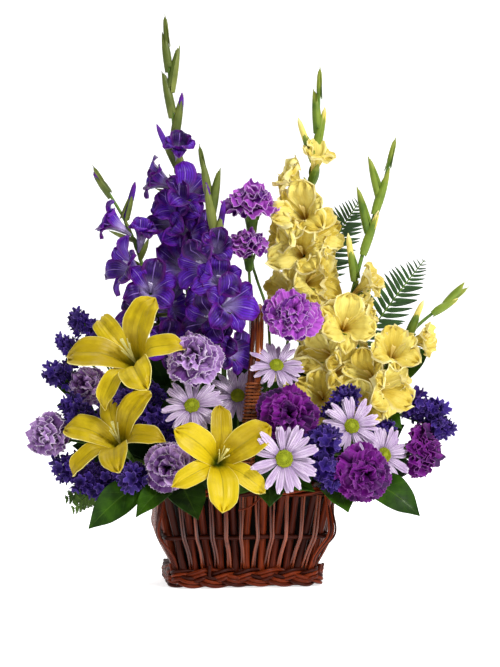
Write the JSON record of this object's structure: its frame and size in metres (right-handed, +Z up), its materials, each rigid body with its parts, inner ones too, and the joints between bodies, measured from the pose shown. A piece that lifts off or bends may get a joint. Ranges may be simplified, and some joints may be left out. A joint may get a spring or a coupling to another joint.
{
  "type": "flower basket arrangement",
  "caption": "Fresh flower arrangement of gladioli, lilies, carnations and daisies with ferns and leaves, standing in foam in a rectangular willow basket with a hoop handle.",
  "frame": {"origin": "on the surface the basket stands on, under the middle of the basket", "axes": "+X to the viewer's right along the basket's long side, +Y to the back, +Z up; the blooms face -Y"},
  "size_m": [0.5837, 0.2982, 0.762],
  "materials": {
    "willow": "stained and varnished willow rods, semi-gloss",
    "liner": "thin dark green plastic",
    "foam": "wet floral foam, matt",
    "lily": "waxy yellow petals with paler edges",
    "purple": "velvety deep violet petals with pale throats",
    "yellow": "soft lemon petals with golden throats",
    "violet": "frilled violet petals",
    "lilac": "frilled lilac petals with pale edges",
    "plum": "frilled dark plum petals",
    "daisy": "pale lilac rays with pink streaks",
    "statice": "papery blue-violet cups",
    "stem": "fresh green stems and calyxes",
    "fern": "dark green fern leaflets",
    "leaf": "glossy dark green leaves"
  },
  "bodies": {
    "root": {"basket_base": "willow", "basket_foot_braid": "willow", "basket_side_rods": "willow", "basket_rim": "willow", "basket_handle": "willow", "liner": "liner", "foam_block": "foam", "lily_upper_bloom": "lily", "lily_upper_stem": "stem", "lily_lower_bloom": "lily", "lily_lower_stem": "stem", "lily_front_bloom": "lily", "lily_front_stem": "stem", "carnation_top_bloom": "violet", "carnation_top_stem": "stem", "carnation_second_bloom": "violet", "carnation_second_stem": "stem", "carnation_centre_bloom": "violet", "carnation_centre_stem": "stem", "carnation_lilac_upper_bloom": "lilac", "carnation_lilac_upper_stem": "stem", "carnation_lilac_back_bloom": "lilac", "carnation_lilac_back_stem": "stem", "carnation_lilac_left_bloom": "lilac", "carnation_lilac_left_stem": "stem", "carnation_lilac_low_bloom": "lilac", "carnation_lilac_low_stem": "stem", "carnation_plum_centre_bloom": "plum", "carnation_plum_centre_stem": "stem", "carnation_plum_low_bloom": "plum", "carnation_plum_low_stem": "stem", "carnation_plum_right_bloom": "plum", "carnation_plum_right_stem": "stem", "daisy_spray_left_stem": "stem", "daisy_left_rays": "daisy", "daisy_behind_handle_rays": "daisy", "daisy_upper_rays": "daisy", "daisy_spray_right_stem": "stem", "daisy_front_rays": "daisy", "daisy_right_rays": "daisy", "daisy_far_right_rays": "daisy", "gladiolus_purple_left": "purple", "gladiolus_purple_tall": "purple", "gladiolus_purple_right": "purple", "gladiolus_yellow_left": "yellow", "gladiolus_yellow_middle": "yellow", "gladiolus_yellow_right": "yellow", "statice_left": "statice", "statice_low_left": "statice", "statice_centre_left": "statice", "statice_front_right": "statice", "statice_far_right": "statice", "fern_upper": "fern", "fern_right": "fern", "leatherleaf": "fern", "salal_left": "leaf", "salal_front": "leaf", "salal_right": "leaf", "salal_upper_right": "leaf", "salal_back": "leaf"}
  },
  "joints": []
}
